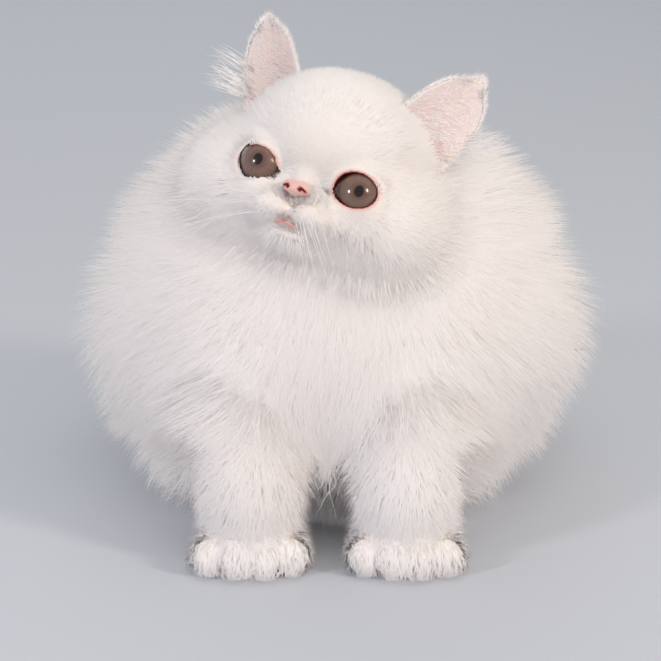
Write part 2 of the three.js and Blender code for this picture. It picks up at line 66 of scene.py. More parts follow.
headTurn = turn("Z", cat["headTurn"][0]) @ turn("X", cat["headTurn"][1]) @ turn("Y", cat["headTurn"][2])
headOrigin = np.array(cat["eyeMiddle"], float)


def toHead(p):  # animal's frame to head frame: x to its left, y back into the head, z to the crown
    return (p - headOrigin) @ headTurn


def fromHead(q):
    return np.asarray(q, float) @ headTurn.T + headOrigin


def headWay(x, y, z):
    return headTurn @ np.array((x, y, z), float)


# where the frame's origin lies among the animal's millimetres: the forepaws stand alike on both sides
pawBoxes = [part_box("front_paw_" + side) for side in sides]
shift = np.array((
    -500 * sum((low.x + high.x) / 2 for low, high in pawBoxes),
    cat["toeLine"] - 1000 * min(low.y for low, high in pawBoxes),
    0,
))
print("shift of the frame in mm:", np.round(shift, 2))


def toFrame(p):
    return (np.asarray(p, float) - shift) / 1000


# rounded masses: centre and half sizes
def mirrored(x, *rest):
    return [(-x, *rest), (x, *rest)]


lidRadius = cat["eyeRadius"] + cat["lidOver"]
headMasses = {
    "skull": (12, [(0, 36, 16, 43, 40, 37), (0, 20, 20, 30, 21, 23), *mirrored(30, 26, -8, 23, 24, 23),
                   (0, 27, -18, 32, 26, 15)]),
    "face": (4, [*mirrored(15, 9, -13, 14, 11, 10), (0, 6, -3, 8, 8.5, 8),
                 *mirrored(8.6, 1, -16.5, 11, 9.4, 7.6), (0, 5, -26, 11, 8.5, 6)]),
    "lids": (1, mirrored(eyeX, cat["eyeDepth"], 0, lidRadius, lidRadius, lidRadius)),
}
bodyMasses = {
    "neck": [(3, -5, 144, 68, 53, 45)],
    "chest": [(2, -28, 102, 68, 42, 56)],
    "torso": [(5, 12, 98, 98, 72, 60), (3, 38, 74, 108, 74, 50), (4, 52, 44, 80, 66, 48)],
    "thigh": mirrored(47, 20, 46, 37, 49, 40),
    "leg": [*mirrored(31, -47, 72, 25, 25, 40), *mirrored(34, -57, 34, 25, 25, 36)],
}
bodyBlends = {"neck": 32, "chest": 32, "torso": 32, "thigh": 14, "leg": 14}  # how softly the masses merge
bodyTuck = 3  # what the wide blends add, taken off again
joins = {"face": 5, "head": 14, "paw": 3, "toe": 2.5, "tail": 4, "tailLine": 6}  # blends of other parts
frontPaw = {"front": cat["toeLine"], "length": 48, "width": 52, "height": 27, "splay": 5}
hindPaw = {"front": -30, "length": 62, "width": 34, "height": 21, "splay": 3.5, "middle": 44}
tailLine = [(4, 98, 32), (18, 124, 24), (48, 138, 20), (78, 128, 18), (94, 106, 17)]
tailRadius = 14


def pawMasses(x, paw):
    half, reach = paw["width"] * 0.2, paw["length"] * 0.2
    front, length, width, height = (paw[key] for key in ("front", "length", "width", "height"))
    masses = [(x, front + length * 0.53, height * 0.4, width * 0.5, length * 0.47, height * 0.62)]
    for across in (-1, -1 / 3, 1 / 3, 1):
        back = reach + abs(across) * paw["splay"]
        masses.append((x + across * width * 0.34, front + back, height * 0.34, half, reach, height * 0.42))
    return masses


def smoothLine(spots, steps):  # evenly spaced points along a Catmull-Rom curve through the spots
    spots = np.asarray(spots, float)
    ends = np.vstack((2 * spots[0] - spots[1], spots, 2 * spots[-1] - spots[-2]))
    out = []
    for i in range(len(spots) - 1):
        a, b, c, d = ends[i:i + 4]
        for t in np.linspace(0, 1, 24, endpoint=False):
            out.append(0.5 * (2 * b + (c - a) * t + (2 * a - 5 * b + 4 * c - d) * t * t
                              + (3 * b - a - 3 * c + d) * t ** 3))
    out = np.array(out + [spots[-1]])
    far = np.concatenate(([0], np.cumsum(np.linalg.norm(np.diff(out, axis=0), axis=1))))
    at = np.linspace(0, far[-1], steps)
    return np.stack([np.interp(at, far, out[:, k]) for k in range(3)], axis=1)


tailSpots = smoothLine(tailLine, 13)
tailWays = np.gradient(tailSpots, axis=0)
tailWays /= np.linalg.norm(tailWays, axis=1)[:, None]
tailSizes = [tailRadius * math.sqrt(max(0.06, 1 - (i / 12) ** 5)) for i in range(13)]
tailMasses = [(*spot, size, size, size) for spot, size in zip(tailSpots, tailSizes)]
pawSets = [pawMasses(sign * cat["legHalfSpacing"], frontPaw) for sign in sides.values()]
pawSets += [pawMasses(sign * hindPaw["middle"], hindPaw) for sign in sides.values()]


def massLevel(mass, p):
    size = np.array(mass[3:], p.dtype)
    q = (p - np.array(mass[:3], p.dtype)) / size
    near = np.maximum(np.sqrt(np.einsum("ij,ij->i", q, q)), 1e-6)
    q /= size
    return near * (near - 1) / np.maximum(np.sqrt(np.einsum("ij,ij->i", q, q)), 1e-9)


def softMin(a, b, blend):
    share = np.maximum(blend - np.abs(a - b), 0) / blend
    return np.minimum(a, b) - share * share * blend / 4


def blended(masses, blend, p):
    level = massLevel(masses[0], p)
    for mass in masses[1:]:
        level = softMin(level, massLevel(mass, p), blend)
    return level


def smoothStep(low, high, x):
    t = np.clip((x - low) / (high - low), 0, 1)
    return t * t * (3 - 2 * t)


# the coat by zone: inset is how far the flesh lies inside the solids' cores, tips how far the hair stands
# out of them, and length its own, all in millimetres. The head's own values change from nose to cheek.
coatKeys = ("inset", "tips", "length")
coat = {
    "neck": (23, 23, 60),
    "chest": (20, 20, 56),
    "torso": (19, 19, 56),
    "thigh": (17, 16, 46),
    "leg": (7, 3.2, 19),
    "paw": (2.4, 2, 9),
    "tail": (8.5, 14, 42),
}
face = {"inset": (0.5, 6, 7), "tips": (0.4, 1.2, 9), "length": (2.6, 12, 27)}  # nose, crown, cheeks
zoneNames = ["head", *coat]
zoneBlend = 7  # millimetres over which one zone's coat turns into the next


def plushness(p):  # 0 at the nose and eyes to 1 on the crown, and 0 to 1 from the face out to the cheeks
    q = toHead(p)
    away = np.sqrt(q[:, 0] ** 2 * 0.7 + q[:, 1] ** 2 * 0.6 + (q[:, 2] + 4) ** 2)
    plush = smoothStep(22, 50, away)
    out = np.maximum(np.abs(q[:, 0]) - 27, 0) / 20
    low = np.maximum(-q[:, 2] - 25, 0) / 16
    back = np.maximum(q[:, 1] - 36, 0) / 24
    high = smoothStep(4, 30, q[:, 2]) * (1 - smoothStep(34, 62, q[:, 1]))
    cheek = smoothStep(0, 1, np.sqrt(out ** 2 + low ** 2 + back ** 2)) * (1 - high)
    return plush, cheek


def coreLevels(p):
    q = toHead(p).astype(p.dtype)
    parts = [blended(masses, blend, q) for blend, masses in headMasses.values()]
    head = softMin(softMin(parts[0], parts[1], joins["face"]), parts[2], joins["face"])
    body = None
    levels = {"head": head}
    for name, masses in bodyMasses.items():
        for mass in masses:
            level = massLevel(mass, p)
            levels[name] = np.minimum(levels.get(name, 1e6), level)
            body = level if body is None else softMin(body, level, bodyBlends[name])
        if name == "torso":
            body = body + bodyTuck
    core = softMin(body, head, joins["head"])
    levels["paw"] = np.min([blended(masses, joins["toe"], p) for masses in pawSets], axis=0)
    levels["tail"] = blended(tailMasses, joins["tailLine"], p)
    levels["leg"] = levels["leg"] + 0.5 * np.maximum(p[:, 2] - 52, 0)
    return softMin(softMin(core, levels["paw"], joins["paw"]), levels["tail"], joins["tail"]), levels


def coatValues(p, levels):
    stack = np.stack([levels[name] for name in zoneNames])
    shares = np.exp(-(stack - stack.min(0)) / zoneBlend)
    shares /= shares.sum(0)
    plush, cheek = plushness(p)
    values = {}
    for k, key in enumerate(coatKeys):
        near, crown, far = face[key]
        own = near + (crown - near) * plush + (far - crown) * cheek
        values[key] = shares[0] * own
        for name, share in zip(zoneNames[1:], shares[1:]):
            values[key] = values[key] + share * coat[name][k]
    return values, shares, plush, cheek


def core(p):
    return coreLevels(p)[0]


def slopeOf(field, p, step=0.5):
    here = field(p)
    rise = np.stack([field(p + step * np.eye(3, dtype=p.dtype)[k]) - here for k in range(3)], axis=1) / step
    return here, rise


# what is cut out of the face: sockets with the opening between the lids, the split lip and the mouth
eyeWays = {side: headWay(sign * math.sin(outward), -math.cos(outward), 0) for side, sign in sides.items()}
eyeSpots = {side: fromHead((sign * eyeX, cat["eyeDepth"], 0)) for side, sign in sides.items()}
lids = {
    "right": (8.3, 5.6), "left": (9, 7.5),  # half width and half height of each opening
    "socket": 11.3, "soft": 0.7, "lowerFlat": 0.95,
}
mouth = {
    "line": [(-15, 1, -27.5), (-10, -4, -24), (-4.5, -7.4, -20.2), (0, -8, -17.6), (4.5, -7.4, -20.2),
             (10, -4, -24), (15, 1, -27.5)],
    "split": [(0, -9.5, -10.5), (0, -9.2, -14), (0, -8, -18)],
    "gap": (0, -7.2, -19.4, 2.5, 3.8, 2.5),
    "lip": [(-4.5, -2.2, -22.8), (0, -5.2, -21.8), (4.5, -2.2, -22.8)],
    "lineRadius": 0.7, "splitRadius": 0.8, "lipRadius": 0.9,
}


def eyePlace(p, side):  # place in the eye's own frame: across, up, and ahead of the ball's centre
    sign = sides[side]
    q = toHead(p) - np.array((sign * eyeX, cat["eyeDepth"], 0))
    ahead = -q[:, 1] * math.cos(outward) + sign * q[:, 0] * math.sin(outward)
    across = q[:, 0] * math.cos(outward) + sign * q[:, 1] * math.sin(outward)
    return across, q[:, 2], ahead


def lidReach(across, up, side):  # 1 on the edge of the opening between the lids
    halfWidth, halfHeight = lids[side]
    low = halfHeight * np.where(up < 0, lids["lowerFlat"], 1)
    return np.sqrt((across / halfWidth) ** 2 + (up / low) ** 2)


def tubeLevel(q, spots, radius, steps=16):
    line = smoothLine(spots, steps).astype(q.dtype)
    near = np.full(len(q), 1e6, q.dtype)
    for a, b in zip(line[:-1], line[1:]):
        t = np.clip(((q - a) @ (b - a)) / ((b - a) @ (b - a)), 0, 1)[:, None]
        near = np.minimum(near, np.linalg.norm(q - a - t * (b - a), axis=1))
    return near - radius


def fleshLevel(p):
    level, levels = coreLevels(p)
    values, *_ = coatValues(p, levels)
    level = level + values["inset"]
    q = toHead(p)
    near = (np.abs(q[:, 0]) < 40) & (q[:, 1] < 26) & (q[:, 1] > -14) & (np.abs(q[:, 2] + 6) < 30)
    if near.any():
        r = q[near]
        own = level[near]
        own = softMin(own, tubeLevel(r, mouth["lip"], mouth["lipRadius"], 8), 1)
        cut = np.minimum(tubeLevel(r, mouth["line"], mouth["lineRadius"]),
                         tubeLevel(r, mouth["split"], mouth["splitRadius"], 6))
        cut = np.minimum(cut, massLevel(mouth["gap"], r))
        for side in sides:
            across, up, ahead = eyePlace(p[near], side)
            ball = np.sqrt(across ** 2 + up ** 2 + ahead ** 2) - lids["socket"]
            funnel = (lidReach(across, up, side) - 1 - 0.012 * np.maximum(ahead - 11, 0)) * lids[side][1]
            cut = np.minimum(cut, np.minimum(ball, np.where(ahead > 0, funnel, 99)))
        level[near] = -softMin(-own, cut, lids["soft"])
    return np.maximum(level, lids["soft"] / 2 - p[:, 2])


# a closed surface through the zero of a field on a grid
def gridLine(low, high, coarse, fineLow, fineHigh, fine):
    parts = [np.linspace(low, fineLow, max(2, round((fineLow - low) / coarse) + 1))[:-1],
             np.linspace(fineLow, fineHigh, round((fineHigh - fineLow) / fine) + 1),
             np.linspace(fineHigh, high, max(2, round((high - fineHigh) / coarse) + 1))[1:]]
    return np.concatenate(parts)


def cornerPart(grid, corner):  # the grid's values at one corner of every cell
    return grid[tuple(slice(c, size - 1 + c) for c, size in zip(corner, grid.shape))]


def surfaceNet(field, xs, ys, zs):
    shape = (len(xs), len(ys), len(zs))
    level = np.empty(shape, np.float32)
    for i in range(0, shape[0], 8):
        spots = np.stack(np.meshgrid(xs[i:i + 8], ys, zs, indexing="ij"), axis=-1)
        level[i:i + 8] = field(spots.reshape(-1, 3).astype(np.float32)).reshape(spots.shape[:3])
    inside = level < 0
    corners = [(i, j, k) for i in (0, 1) for j in (0, 1) for k in (0, 1)]
    filled = sum(cornerPart(inside, corner).astype(np.int8) for corner in corners)
    cells = np.argwhere((filled > 0) & (filled < 8))
    number = np.full(filled.shape, -1)
    number[tuple(cells.T)] = np.arange(len(cells))
    total, hits = np.zeros((len(cells), 3)), np.zeros(len(cells))
    lines = (xs, ys, zs)
    for a in corners:
        for axis in range(3):
            if a[axis]:
                continue
            b = tuple(v + (n == axis) for n, v in enumerate(a))
            first, second = level[tuple((cells + a).T)], level[tuple((cells + b).T)]
            crossed = (first < 0) != (second < 0)
            share = first[crossed] / (first[crossed] - second[crossed])
            for n in range(3):
                start = lines[n][cells[crossed, n] + a[n]]
                total[crossed, n] += start + share * (lines[n][cells[crossed, n] + b[n]] - start)
            hits[crossed] += 1
    faces = []
    for axis in range(3):
        one, two = [n for n in range(3) if n != axis]
        ahead = [slice(None)] * 3
        behind = [slice(None)] * 3
        ahead[axis], behind[axis] = slice(1, None), slice(None, -1)
        a, b = inside[tuple(behind)], inside[tuple(ahead)]
        for spot, flip in ((np.argwhere(a & ~b), axis == 1), (np.argwhere(~a & b), axis != 1)):
            spot = spot[(spot[:, one] > 0) & (spot[:, two] > 0)]
            quad = []
            for di, dj in ((1, 1), (0, 1), (0, 0), (1, 0)):
                cell = spot.copy()
                cell[:, one] -= di
                cell[:, two] -= dj
                quad.append(number[tuple(cell.T)])
            quad = np.stack(quad, axis=1)
            faces.append(quad[:, ::-1] if flip else quad)
    return total / hits[:, None], np.concatenate(faces)


def addObject(name, data):
    made = bpy.data.objects.new(name, data)
    bpy.context.scene.collection.objects.link(made)
    return made


def addPlainMesh(name, spots, faces, material):  # from points in metres and faces of any size
    mesh = bpy.data.meshes.new(name)
    mesh.from_pydata(spots, [], faces)
    mesh.shade_smooth()
    mesh.materials.append(material)
    return addObject(name, mesh)


def addMesh(name, spots, faces, material):  # from points in the animal's millimetres
    faces = np.asarray(faces)
    mesh = bpy.data.meshes.new(name)
    mesh.vertices.add(len(spots))
    mesh.vertices.foreach_set("co", toFrame(spots).astype(np.float32).ravel())
    mesh.loops.add(faces.size)
    mesh.loops.foreach_set("vertex_index", faces.astype(np.int32).ravel())
    mesh.polygons.add(len(faces))
    mesh.polygons.foreach_set("loop_start", np.arange(0, faces.size, faces.shape[1], dtype=np.int32))
    mesh.update(calc_edges=True)
    mesh.shade_smooth()
    mesh.materials.append(material)
    return addObject(name, mesh)


def setShade(made, values, name="shade"):
    values = np.asarray(values, np.float32)
    made.data.attributes.new(name, "FLOAT", "POINT").data.foreach_set("value", values)


# materials

def linear(hexColour):
    parts = [int(hexColour[i:i + 2], 16) / 255 for i in (1, 3, 5)]
    return tuple(c / 12.92 if c < 0.04045 else ((c + 0.055) / 1.055) ** 2.4 for c in parts) + (1.0,)


def addNode(tree, kind, settings=None, values=None, links=None, stops=None):
    made = tree.nodes.new("ShaderNode" + kind)
    for key, value in (settings or {}).items():
        setattr(made, key, value)
    for key, value in (values or {}).items():
        made.inputs[key].default_value = value
    for key, source in (links or {}).items():
        tree.links.new(source, made.inputs[key])
    if stops:
        for _ in stops[2:]:
            made.color_ramp.elements.new(0.5)
        for element, (place, colour) in zip(made.color_ramp.elements, stops):
            element.position = place
            element.color = linear(colour)
    return made


def newMaterial(name, values):
    material = bpy.data.materials.new(name)
    material.use_nodes = True
    tree = material.node_tree
    shader = tree.nodes["Principled BSDF"]
    for key, value in values.items():
        shader.inputs[key].default_value = value
    return material, tree, shader


def tintedMaterial(name, values, stored, stops):  # its colour follows a value stored on the points
    material, tree, shader = newMaterial(name, values)
    source = addNode(tree, "Attribute", {"attribute_name": stored}).outputs["Fac"]
    tint = addNode(tree, "ValToRGB", links={"Fac": source}, stops=stops)
    tree.links.new(tint.outputs["Color"], shader.inputs["Base Color"])
    return material, tree, shader


# white guard hair and down: keratin without pigment, pale ivory to cool white from lock to lock
hair = {"deep": "#f2ece8", "bright": "#fdfafa", "roughness": 0.62, "ior": 1.55}
hairMaterial = tintedMaterial("whitePersianHair", {
    "Roughness": hair["roughness"], "IOR": hair["ior"], "Sheen Weight": 0.15, "Specular IOR Level": 0.35,
}, "shade", [(0, hair["deep"]), (1, hair["bright"])])[0]

# skin with fine white down: bare pink at the rims of the lids, the lips and round the nose
skin = {"down": "#f0e8e2", "pink": "#dc9c94", "red": "#8e3a3c", "roughness": 0.6,
        "pore": 0.35}  # spacing of the pores in mm


def makeSkin():
    material, tree, shader = tintedMaterial("pinkSkinWithDown", {
        "Roughness": skin["roughness"], "Subsurface Weight": 0.1, "Subsurface Scale": 0.002,
    }, "bare", [(0, skin["down"]), (0.5, skin["pink"]), (1, skin["red"])])
    place = addNode(tree, "TexCoord")
    pores = addNode(tree, "TexNoise", values={"Scale": 1000 / skin["pore"] / 2, "Detail": 2},
                    links={"Vector": place.outputs["Object"]})
    bump = addNode(tree, "Bump", values={"Strength": 0.15, "Distance": 0.0001},
                   links={"Height": pores.outputs["Fac"]})
    tree.links.new(bump.outputs["Normal"], shader.inputs["Normal"])
    return material


skinMaterial = makeSkin()

# the skin: one closed surface for all the flesh
skinGrid = {
    "x": (-112, 116, 3, -46, 32, 0.8), "y": (-90, 158, 3, -86, -34, 0.8), "z": (-2, 222, 3, 150, 196, 0.8),
}


def bareness(p):  # 0 under fur, about 0.5 where bare and pink, near 1 in the mouth and at the lids' edge
    q = toHead(p)
    bare = np.zeros(len(p))
    for side in sides:
        across, up, ahead = eyePlace(p, side)
        edge = (lidReach(across, up, side) - 1) * lids[side][1]
        rim = 0.92 * (1 - smoothStep(0.1, 0.5, edge))
        rim = rim + 0.3 * (1 - smoothStep(0.5, 2.2, edge)) * (edge > 0.1)
        bare = np.maximum(bare, np.where(ahead > 0, np.minimum(rim, 1), 0))
    nose = np.linalg.norm((q - np.array((0, -7, -7.5))) / (1.25, 1, 0.9), axis=1)
    bare = np.maximum(bare, 0.42 * (1 - smoothStep(5, 9, nose)))
    front = q[:, 1] < 6
    split = tubeLevel(q[front], mouth["split"], 0, 6)
    line = tubeLevel(q[front], mouth["line"], 0)
    gap = massLevel(mouth["gap"], q[front])
    lip = tubeLevel(q[front], mouth["lip"], 0, 8)
    local = 0
    # the mouth's opening goes almost to the dark red: its own red with painted shade inside it
    for most, low, high, near in ((0.6, 0.6, 2.6, split), (0.5, 0.6, 2, line), (0.45, 1, 2.4, lip),
                                  (0.9, -0.3, 1.6, gap)):
        local = np.maximum(local, most * (1 - smoothStep(low, high, near)))
    bare[front] = np.maximum(bare[front], local)
    return bare


skinSpots, skinFaces = surfaceNet(fleshLevel, *(gridLine(*skinGrid[axis]) for axis in "xyz"))
print("skin:", len(skinSpots), "points")
skinPiece = addMesh("skin", skinSpots, skinFaces, skinMaterial)
setShade(skinPiece, bareness(skinSpots), "bare")
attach(skinPiece, "root")
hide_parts("head", "neck", "chest", "torso", "tail_base", "tail_tip",
            *[part + side for part in ("front_leg_", "front_paw_", "hind_leg_", "hind_paw_")
              for side in sides])
print("skin done")

# the woolly undercoat, so dense that it closes: it fills the coat's lower part and stays under thin fur
wool = {
    "share": 0.45, "curl": 1.1, "under": 4, "thin": 9, "full": 18,  # millimetres, and the share of the depth
    "x": (-118, 124, 2.6), "y": (-96, 164, 2.6), "z": (-2, 228, 2.6),
}


def woolLevel(p):
    level, levels = coreLevels(p)
    values = coatValues(p, levels)[0]
    depth = values["inset"] + values["tips"]
    thick = smoothStep(wool["thin"], wool["full"], depth)
    level = level + values["inset"] - depth * wool["share"] * thick + wool["under"] * (1 - thick)
    return np.maximum(level, 0.6 - p[:, 2])


def makeWool():
    material, tree, shader = newMaterial("woollyUndercoat", {"Roughness": 0.8, "Sheen Weight": 0.2})
    place = addNode(tree, "TexCoord")
    curls = addNode(tree, "TexNoise", values={"Scale": 1000 / wool["curl"] / 2, "Detail": 3},
                    links={"Vector": place.outputs["Object"]})
    tint = addNode(tree, "ValToRGB", links={"Fac": curls.outputs["Fac"]},
                   stops=[(0.3, hair["deep"]), (0.7, hair["bright"])])
    tree.links.new(tint.outputs["Color"], shader.inputs["Base Color"])
    bump = addNode(tree, "Bump", values={"Strength": 0.5, "Distance": 0.0005},
                   links={"Height": curls.outputs["Fac"]})
    tree.links.new(bump.outputs["Normal"], shader.inputs["Normal"])
    return material


woolSpots, woolFaces = surfaceNet(woolLevel, *(np.arange(*wool[axis]) for axis in "xyz"))
woolPiece = addMesh("undercoat", woolSpots, woolFaces, makeWool())
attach(woolPiece, "root")
print("undercoat:", len(woolPiece.data.polygons), "faces")

# the coat: tapered tufts that grow from the skin, follow the lie and end at the coat's outside
noseTip = fromHead((0, -8, -8))
waveTurns = rng.normal(size=(3, 5, 3))
waveStarts = rng.uniform(0, 2 * math.pi, (3, 5))


def waves(p, size):  # smooth wandering numbers in three directions
    angles = np.einsum("nk,ajk->naj", p / size, waveTurns) + waveStarts
    return np.sin(angles).mean(axis=2) * 1.6


def unit(v):
    return v / np.maximum(np.linalg.norm(v, axis=-1, keepdims=True), 1e-9)


def hairLie(p, shares):
    down = np.array((0, 0, -1.0))
    away = unit(p - noseTip) + 0.25 * down
    for side in sides:  # round the eyes the hair turns away from the lids
        across, up, ahead = eyePlace(p, side)
        near = (1 - smoothStep(1, 2.1, lidReach(across, up, side)))[:, None]
        away = away + 2.4 * near * unit(p - eyeSpots[side] - 8 * eyeWays[side])
    q = toHead(p)
    muzzle = (1 - smoothStep(4, 10, np.abs(q[:, 0]))) * smoothStep(9, 12, -q[:, 2])
    muzzle = muzzle * (1 - smoothStep(22, 27, -q[:, 2])) * (q[:, 1] < 6)
    away = away + 3 * (muzzle * np.sign(q[:, 0]))[:, None] * headWay(1, 0.2, -0.15)
    ways = {"head": away, "leg": down + np.array((0, -0.15, 0)), "paw": np.array((0, -1, -0.35))}
    body = unit(p - headOrigin) + 0.7 * down
    nearest = np.argmin(np.linalg.norm(p[:, None] - tailSpots, axis=2), axis=1)
    ways["tail"] = tailWays[nearest]
    total = np.zeros_like(p)
    for name, share in zip(zoneNames, shares):
        total += share[:, None] * ways.get(name, body)
    return unit(total)


growth = {"sink": 1.0, "floor": 0.8, "wander": 0.3, "wanderSize": 22}
# the two coats: woolly down that fills the depth, and the longer guard hair that stands through it.
# reach is the share of the coat's depth where tufts end, long their length beside the zone's own.
layers = {
    "down": {"reach": (0.55, 0.85), "long": 0.8, "rise": 1, "stray": 0.3, "roll": 0.1, "soft": 0.95,
             "rows": {3: (0, 0.66, 1)}, "profile": {3: (0, 1, 0)}},
    "guard": {"reach": (0.66, 1.08), "long": 0.92, "rise": 0.9, "stray": 0.26, "roll": 0.15, "soft": 0.8,
              "rows": {3: (0, 0.5, 1), 4: (0, 0.5, 0.8, 1)}, "profile": {3: (0, 1, 0), 4: (0, 1, 0.7, 0)}},
}


def growPaths(roots, layer, rows):  # the middle lines of the tufts, with the outward way at each row
    roots = roots.astype(np.float64)
    levels = coreLevels(roots)[1]
    values, shares, plush = coatValues(roots, levels)[:3]
    n = len(roots)
    shortest, longest = layer["reach"]
    reach = shortest + (longest - shortest) * rng.random(n) ** 0.7
    fromLevel = -values["inset"] - growth["sink"]
    toLevel = -values["inset"] + (values["inset"] + values["tips"]) * reach
    climb = toLevel - fromLevel
    length = values["length"] * layer["long"]
    glide = np.sqrt(np.maximum((length * reach) ** 2 - climb ** 2, (0.25 * length) ** 2))
    stray = layer["stray"] * rng.normal(size=(n, 3))
    p = roots.copy()
    paths, outs = [], []
    for i, share in enumerate(rows):
        target = fromLevel + climb * share ** layer["rise"]
        here, slope = slopeOf(core, p)
        p = p + slope * ((target - here) / np.maximum((slope ** 2).sum(1), 0.2))[:, None]
        out = unit(slope)
        floor = growth["floor"] * (1 + 2 * share)
        p[:, 2] = np.maximum(p[:, 2], floor)
        paths.append(p.copy())
        outs.append(out)
        if i + 1 < len(rows):
            way = hairLie(p, shares) + growth["wander"] * waves(p, growth["wanderSize"]) + stray
            way = unit(way - (way * out).sum(1)[:, None] * out)
            p = p + way * (glide * (rows[i + 1] - share))[:, None]
            firstWay = way if i == 0 else firstWay
    bent = (outs[0] * outs[-1]).sum(1)
    atLevel = (np.abs(core(p) - toLevel) < 2) | (p[:, 2] < 8)
    held = atLevel & ((bent > 0.15) | (levels["tail"] < 20))  # the rest went astray in a fold
    paths, out = np.stack(paths, axis=1), unit(np.mean(outs, axis=0))
    return paths[held], out[held], firstWay[held], plush[held], held


def gathered(paths, every, pull):  # tufts lean together towards the nearest of a few leading ones
    n, rows = paths.shape[:2]
    leaders = rng.choice(n, max(1, n // every), replace=False)
    tree = kdtree.KDTree(len(leaders))
    for i, leader in enumerate(leaders):
        tree.insert(paths[leader, 0], i)
    tree.balance()
    nearest = leaders[[tree.find(spot)[1] for spot in paths[:, 0]]]
    share = np.linspace(0, 1, rows) ** 1.3
    return paths + (paths[nearest] - paths) * (pull[:, None] * share)[:, :, None]


section = np.array([(1, -0.09), (-1, -0.09), (0, 0.18)])  # of a tuft: wider than it is thick


# outs and lies hold one way out of the skin and one way along it for each tuft; softness tells how far it
# is shaded like the coat's surface instead of like its own small faces
def tuftPiece(name, paths, outs, lies, widths, profile, bakeSpots, shades, rollBy, softness):
    n, rows = paths.shape[:2]
    ways = unit(np.gradient(paths, axis=1))
    across = unit(np.cross(lies, outs))[:, None]
    side = unit(across - (across * ways).sum(2, keepdims=True) * ways)
    over = np.cross(side, ways)
    roll = rng.uniform(-rollBy, rollBy, n)[:, None, None]
    side, over = side * np.cos(roll) + over * np.sin(roll), over * np.cos(roll) - side * np.sin(roll)
    outs = unit(np.concatenate((outs[:, :2], np.maximum(outs[:, 2:], -0.3)), axis=1))[:, None]
    rings = rows - 2
    half = widths[:, None] / 2 * np.array(profile)[None, 1:-1]
    inner = slice(1, rows - 1)
    spread = section[:, 0, None] * side[:, inner, None] + section[:, 1, None] * over[:, inner, None]
    ring = paths[:, inner, None] + half[:, :, None, None] * spread
    ring[..., 2] = np.maximum(ring[..., 2], 0.15)
    spots = np.concatenate((paths[:, :1], ring.reshape(n, rings * 3, 3), paths[:, -1:]), axis=1)
    facing = unit(softness * outs[:, :, None] + (1 - softness) * unit(spread))
    facing = np.concatenate((outs, facing.reshape(n, rings * 3, 3), outs), axis=1)
    per = rings * 3 + 2
    faces = [(0, 1 + (k + 1) % 3, 1 + k) for k in range(3)]
    for row in range(rings - 1):
        for k in range(3):
            a, b = 1 + row * 3 + k, 1 + row * 3 + (k + 1) % 3
            faces += [(a, b, b + 3), (a, b + 3, a + 3)]
    last = 1 + (rings - 1) * 3
    faces += [(last + k, last + (k + 1) % 3, per - 1) for k in range(3)]
    faces = (np.array(faces)[None] + per * np.arange(n)[:, None, None]).reshape(-1, 3)
    made = addMesh(name, spots.reshape(-1, 3), faces, hairMaterial)
    if softness:
        normals = made.data.attributes.new("custom_normal", "FLOAT_VECTOR", "POINT")
        normals.data.foreach_set("vector", facing.astype(np.float32).ravel())
    setShade(made, np.repeat(shades, per))
    patch = [(k / 2, (row + 1) / rows) for row in range(rings) for k in range(3)]
    patch = np.array([(0.5, 0), *patch, (0.5, 1)])
    corner = (bakeSpots[:, None] * 0.99 + 0.003 * patch[None]).reshape(-1, 2)[faces.ravel()]
    made.data.uv_layers.new(name="OFBake").data.foreach_set("uv", corner.astype(np.float32).ravel())
    made.visible_shadow = False  # white hair lets the light through
    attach(made, "root")
    print(name, n, "tufts,", len(faces), "triangles")


def hairPiece(name, paths, outs, widths, profile, shades):  # single hairs, shaded like their own faces
    tuftPiece(name, paths, outs, paths[:, -1] - paths[:, 0], widths, profile, unwrapped(paths[:, 0]),
              shades, 0.15, 0)


def unwrapped(roots):  # longitude and latitude round the middle of the piece's own patch of skin
    middle = roots.mean(axis=0)
    spread, axes = np.linalg.eigh(np.cov((roots - middle).T))
    local = (roots - middle - axes[:, 0] * 2.5 * math.sqrt(spread[2])) @ axes
    u = np.arctan2(local[:, 1], -local[:, 0])
    v = np.arctan2(local[:, 2], np.hypot(local[:, 0], local[:, 1]))
    flat = np.stack((u, v), axis=1)
    low, high = flat.min(0), flat.max(0)
    return (flat - low) / np.maximum(high - low, 1e-6)


# each coat piece: its zone and layer, how many tufts, their width in mm, and the rows along a tuft
pieces = {
    "downCheeks": ("cheeks", "down", 4000, 1.8, 3),
    "downRuff": ("ruff", "down", 7000, 2.4, 3),
    "downBib": ("bib", "down", 7000, 2.4, 3),
    "downBody": ("body", "down", 12000, 2.6, 3),
    "downLegs": ("legs", "down", 5000, 1.2, 3),
    "downTail": ("tail", "down", 2500, 2, 3),
    "coatFace": ("face", "guard", 28000, 0.4, 3),
    "coatCrown": ("crown", "guard", 14000, 0.45, 3),
    "coatCheeks": ("cheeks", "guard", 13000, 0.5, 4),
    "coatRuff": ("ruff", "guard", 14500, 0.5, 4),
    "coatBib": ("bib", "guard", 15000, 0.5, 4),
    "coatRight": ("right", "guard", 16000, 0.6, 3),
    "coatLeft": ("left", "guard", 16000, 0.6, 3),
    "coatHaunches": ("haunches", "guard", 5000, 0.6, 3),
    "coatLegs": ("legs", "guard", 18000, 0.45, 3),
    "coatTail": ("tail", "guard", 7500, 0.55, 3),
}
gather = {"every": 14, "pull": 0.16}  # tufts to a gathering, and how far their tips lean together

